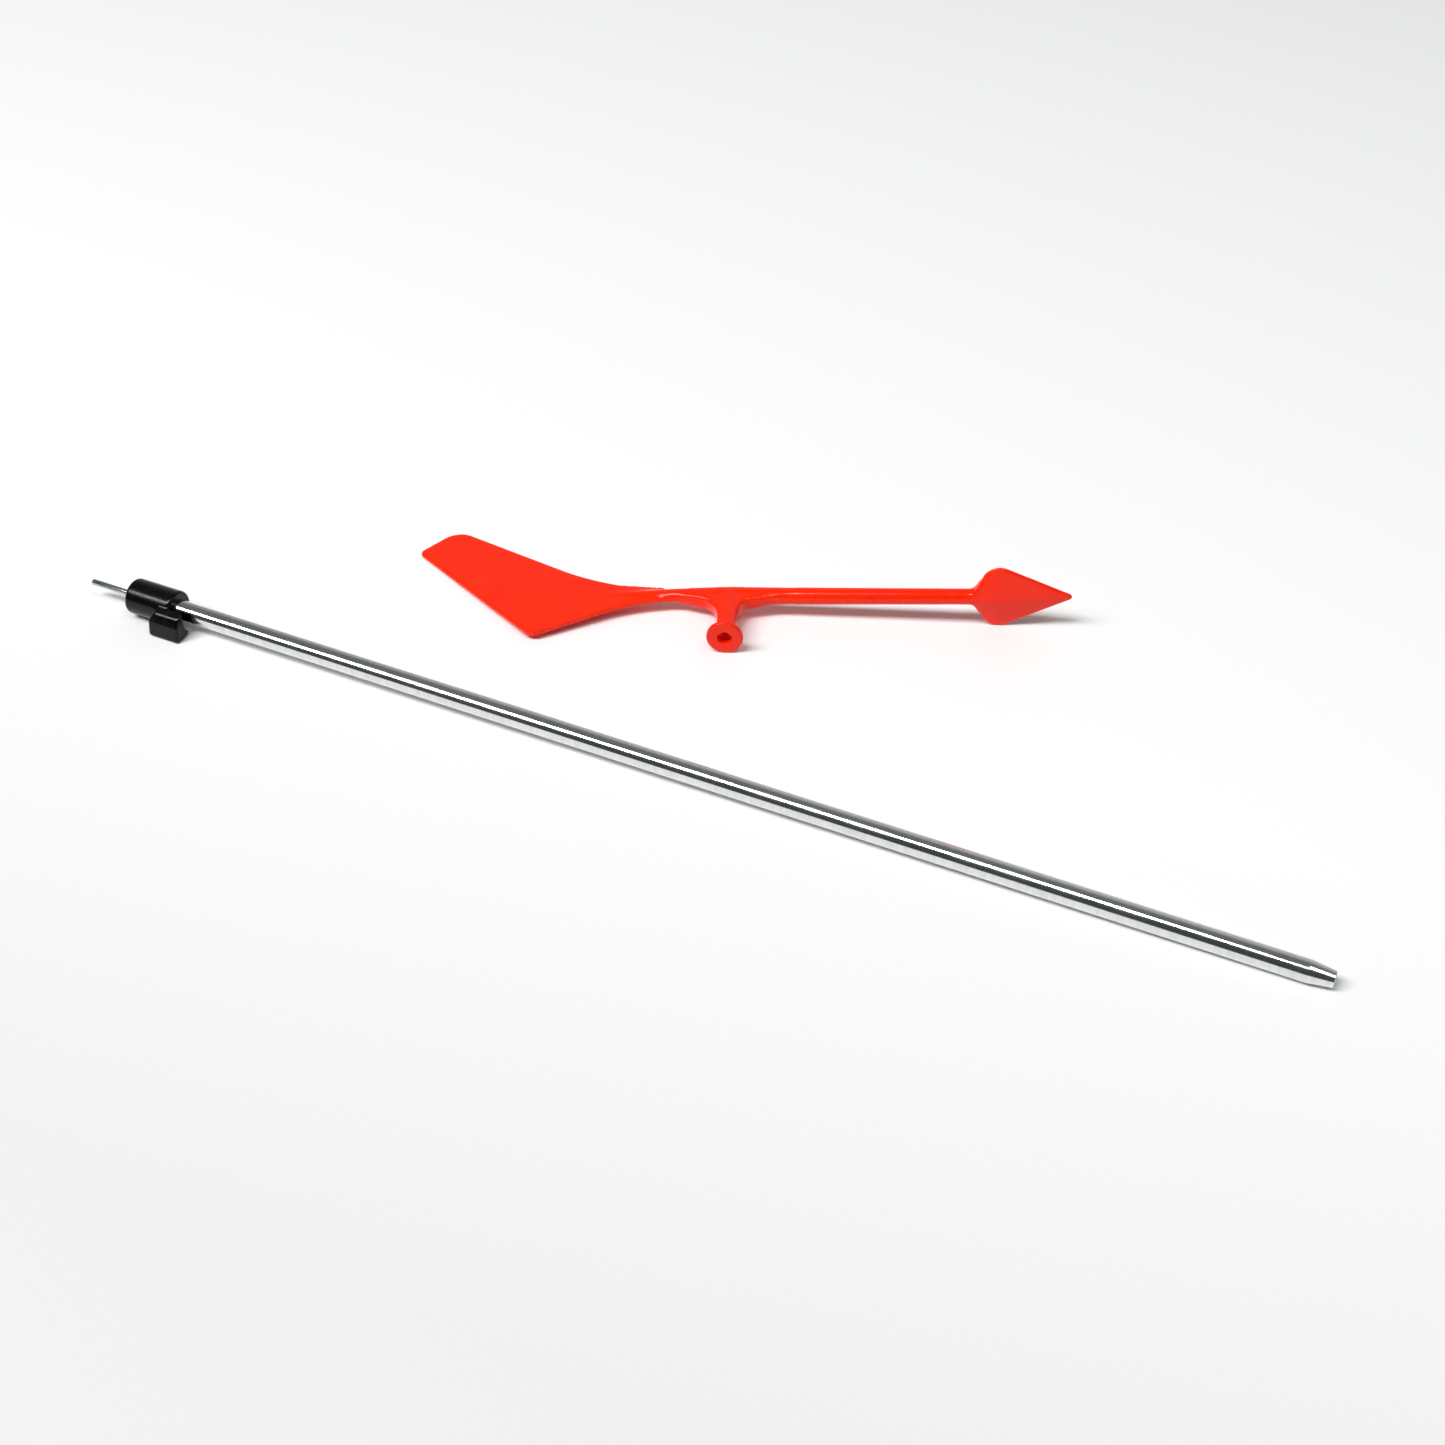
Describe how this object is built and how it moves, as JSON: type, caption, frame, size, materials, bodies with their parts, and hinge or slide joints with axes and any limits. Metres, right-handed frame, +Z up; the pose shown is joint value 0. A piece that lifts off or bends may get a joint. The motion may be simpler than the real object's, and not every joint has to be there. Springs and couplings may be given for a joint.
{
  "type": "dinghy masthead wind indicator",
  "caption": "Small wind indicator taken apart: an arrow-shaped weather vane with hub beside its slim metal pole with pivot pin, collar and side clip.",
  "frame": {"origin": "middle of the footprint of the whole set, on the ground it lies on", "axes": "+X along the pole from its pin end to its tapered foot, +Y from the pole towards the vane, +Z up"},
  "size_m": [0.37, 0.1198, 0.0205],
  "materials": {
    "bright_aluminium": "bright drawn",
    "steel": "ground",
    "black_plastic": "semi-gloss moulded",
    "red_plastic": "gloss moulded"
  },
  "bodies": {
    "pole": {"pole_rod": "bright_aluminium", "pivot_pin": "steel", "pivot_collar": "black_plastic"},
    "vane": {"vane": "red_plastic"}
  },
  "joints": [
    {"name": "vane_spin", "type": "hinge", "parent": "pole", "child": "vane", "pos_m": [-0.00936, 0.02412, 0.00577], "axis": [-0.3536, 0.9352, 0.0187], "continuous": true}
  ]
}
